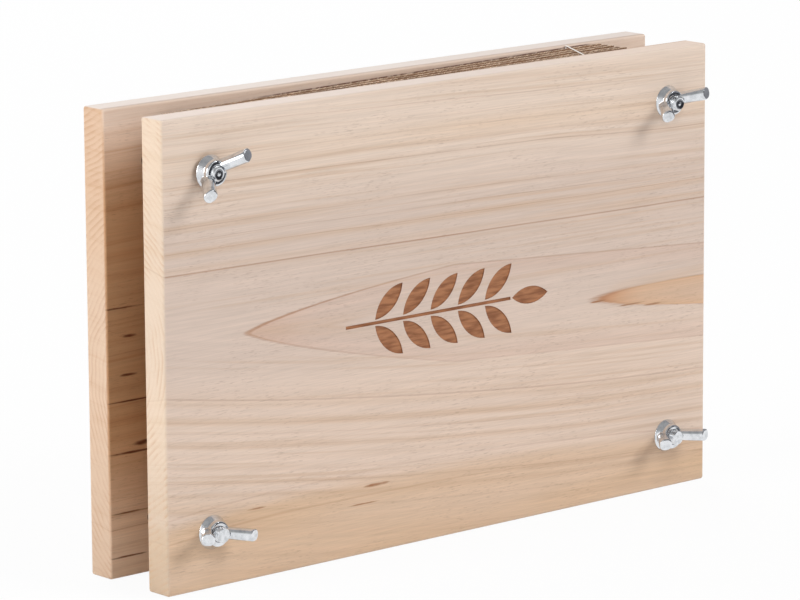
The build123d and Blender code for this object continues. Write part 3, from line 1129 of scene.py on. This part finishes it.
def makeBand(look):
    low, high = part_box("sheet_band")
    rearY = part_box("rear_board")[0].y - look["boardGap"] * mm
    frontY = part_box(look["frontSheet"])[0].y - look["boardGap"] * mm
    half = look["Thickness"] / 2 * mm
    drop = (look["rearX"] - look["frontX"]) * look["slopeShare"] * mm
    values = {
        "Point 1": (look["rearX"] * mm, rearY, low.z + drop + half),
        "Point 2": (look["frontX"] * mm, frontY, low.z + half),
        "Point 3": (look["frontX"] * mm, frontY, high.z - drop - half),
        "Point 4": (look["rearX"] * mm, rearY, high.z - half),
        "Finish": makeElastic("white_elastic_weave", look),
    }
    piece = growPiece("elastic_band", bandTree(), {**values, **sizesOf(look)})
    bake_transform(piece)
    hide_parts("sheet_band")


makeBand(bandLook)
print("band stretched round the stack")


# studio: pale floor, soft lights and the camera

cameraLook = {
    "place": (-1.2231, -1.3890, 0.4660),
    "heading": -41.17,
    "dip": 11.45,
    "roll": -0.35,
    "lens": 217.8,
    "sensor": 36.0,
}
stageLook = {
    "floorSide": 14.0,
    "floorDrop": 0.0002,
    "floor": paint(238, 238, 238),
    "floorGlow": 0.94,
    "white": paint(255, 255, 255),
    "fill": paint(246, 248, 252),
    "fillStrength": 0.42,
    "lights": {
        "key": ((2.2, -3.3, 3.0), 2.5, 115.0),
        "left": ((-2.5, 0.3, 1.1), 1.6, 41.0),
        "back": ((0.8, 2.4, 2.0), 1.8, 34.0),
    },
    "aim": (0.0, 0.0, 0.09),
    "ceiling": 0.4,            # the white of the studio falls to this overhead
    "ceilingFade": (0.15, 0.7),
    "darkCards": {             # plan from, plan to, height and shade: only reflections see them
        "right": ((0.6, -0.5), (0.6, 0.6), 0.8, paint(146, 146, 150)),
        "front": ((0.05, -0.55), (0.6, -0.5), 0.8, paint(66, 66, 70)),
    },
}


def seenShare(tree):
    rays = addNode(tree, "ShaderNodeLightPath").outputs
    seen = calc("MAXIMUM", rays["Is Camera Ray"], rays["Is Glossy Ray"])
    return calc("MAXIMUM", seen, rays["Is Transmission Ray"])


def makeWorld(look):
    world = bpy.data.worlds.new("studio_white")
    bpy.context.scene.world = world
    tree = emptyTree(world)
    sockets = {"Color": look["fill"], "Strength": look["fillStrength"]}
    fill = addNode(tree, "ShaderNodeBackground", sockets)
    upward = axesOf(addNode(tree, "ShaderNodeTexCoord").outputs["Generated"])[2]
    level = ease(upward, *look["ceilingFade"], 1, look["ceiling"])
    shown = addNode(tree, "ShaderNodeBackground", {"Color": look["white"], "Strength": level})
    sockets = {0: seenShare(tree), 1: fill.outputs[0], 2: shown.outputs[0]}
    showSurface(tree, addNode(tree, "ShaderNodeMixShader", sockets), "World")


def makeFloor(look):
    half = look["floorSide"] / 2
    mesh = bpy.data.meshes.new("studio_floor")
    outline = [(-half, -half), (half, -half), (half, half), (-half, half)]
    mesh.from_pydata([(x, y, -look["floorDrop"]) for x, y in outline], [], [(0, 1, 2, 3)])
    floor = addPiece("studio_floor", mesh)
    material = bpy.data.materials.new("studio_paper")
    tree = emptyTree(material)
    matt = addNode(tree, "ShaderNodeBsdfDiffuse", {"Color": look["floor"]})
    glow = addNode(tree, "ShaderNodeEmission", {"Color": look["white"], "Strength": 1.0})
    share = times(seenShare(tree), look["floorGlow"])
    sockets = {0: share, 1: matt.outputs[0], 2: glow.outputs[0]}
    showSurface(tree, addNode(tree, "ShaderNodeMixShader", sockets))
    mesh.materials.append(material)


def makeDarkCards(look):
    for name, (start, end, height, shade) in look["darkCards"].items():
        material = bpy.data.materials.new("dark_card_" + name)
        tree = emptyTree(material)
        showSurface(tree, addNode(tree, "ShaderNodeEmission", {"Color": shade, "Strength": 1.0}))
        mesh = bpy.data.meshes.new("dark_card_" + name)
        mesh.from_pydata([(*start, 0), (*end, 0), (*end, height), (*start, height)], [], [(0, 1, 2, 3)])
        mesh.materials.append(material)
        card = addPiece("dark_card_" + name, mesh)
        for ray in ("camera", "diffuse", "shadow", "transmission"):
            setattr(card, "visible_" + ray, False)


def makeLights(look):
    for name, (place, side, power) in look["lights"].items():
        lamp = bpy.data.lights.new(name + "_softbox", "AREA")
        lamp.shape = "SQUARE"
        lamp.size = side
        lamp.energy = power
        holder = addPiece(name + "_softbox", lamp)
        holder.location = place
        aim = Vector(look["aim"]) - Vector(place)
        holder.rotation_euler = aim.to_track_quat("-Z", "Y").to_euler()


def makeCamera(look):
    lens = bpy.data.cameras.new("photo_camera")
    lens.lens = look["lens"]
    lens.sensor_width = look["sensor"]
    camera = addPiece("photo_camera", lens)
    turn = Matrix.Rotation(math.radians(look["heading"]), 4, "Z")
    tip = Matrix.Rotation(math.radians(90 - look["dip"]), 4, "X")
    roll = Matrix.Rotation(math.radians(look["roll"]), 4, "Z")
    camera.matrix_world = Matrix.Translation(look["place"]) @ turn @ tip @ roll
    bpy.context.scene.camera = camera


makeWorld(stageLook)
makeFloor(stageLook)
makeDarkCards(stageLook)
makeLights(stageLook)
makeCamera(cameraLook)
bpy.context.scene.view_settings.view_transform = "Standard"
print("studio lit")
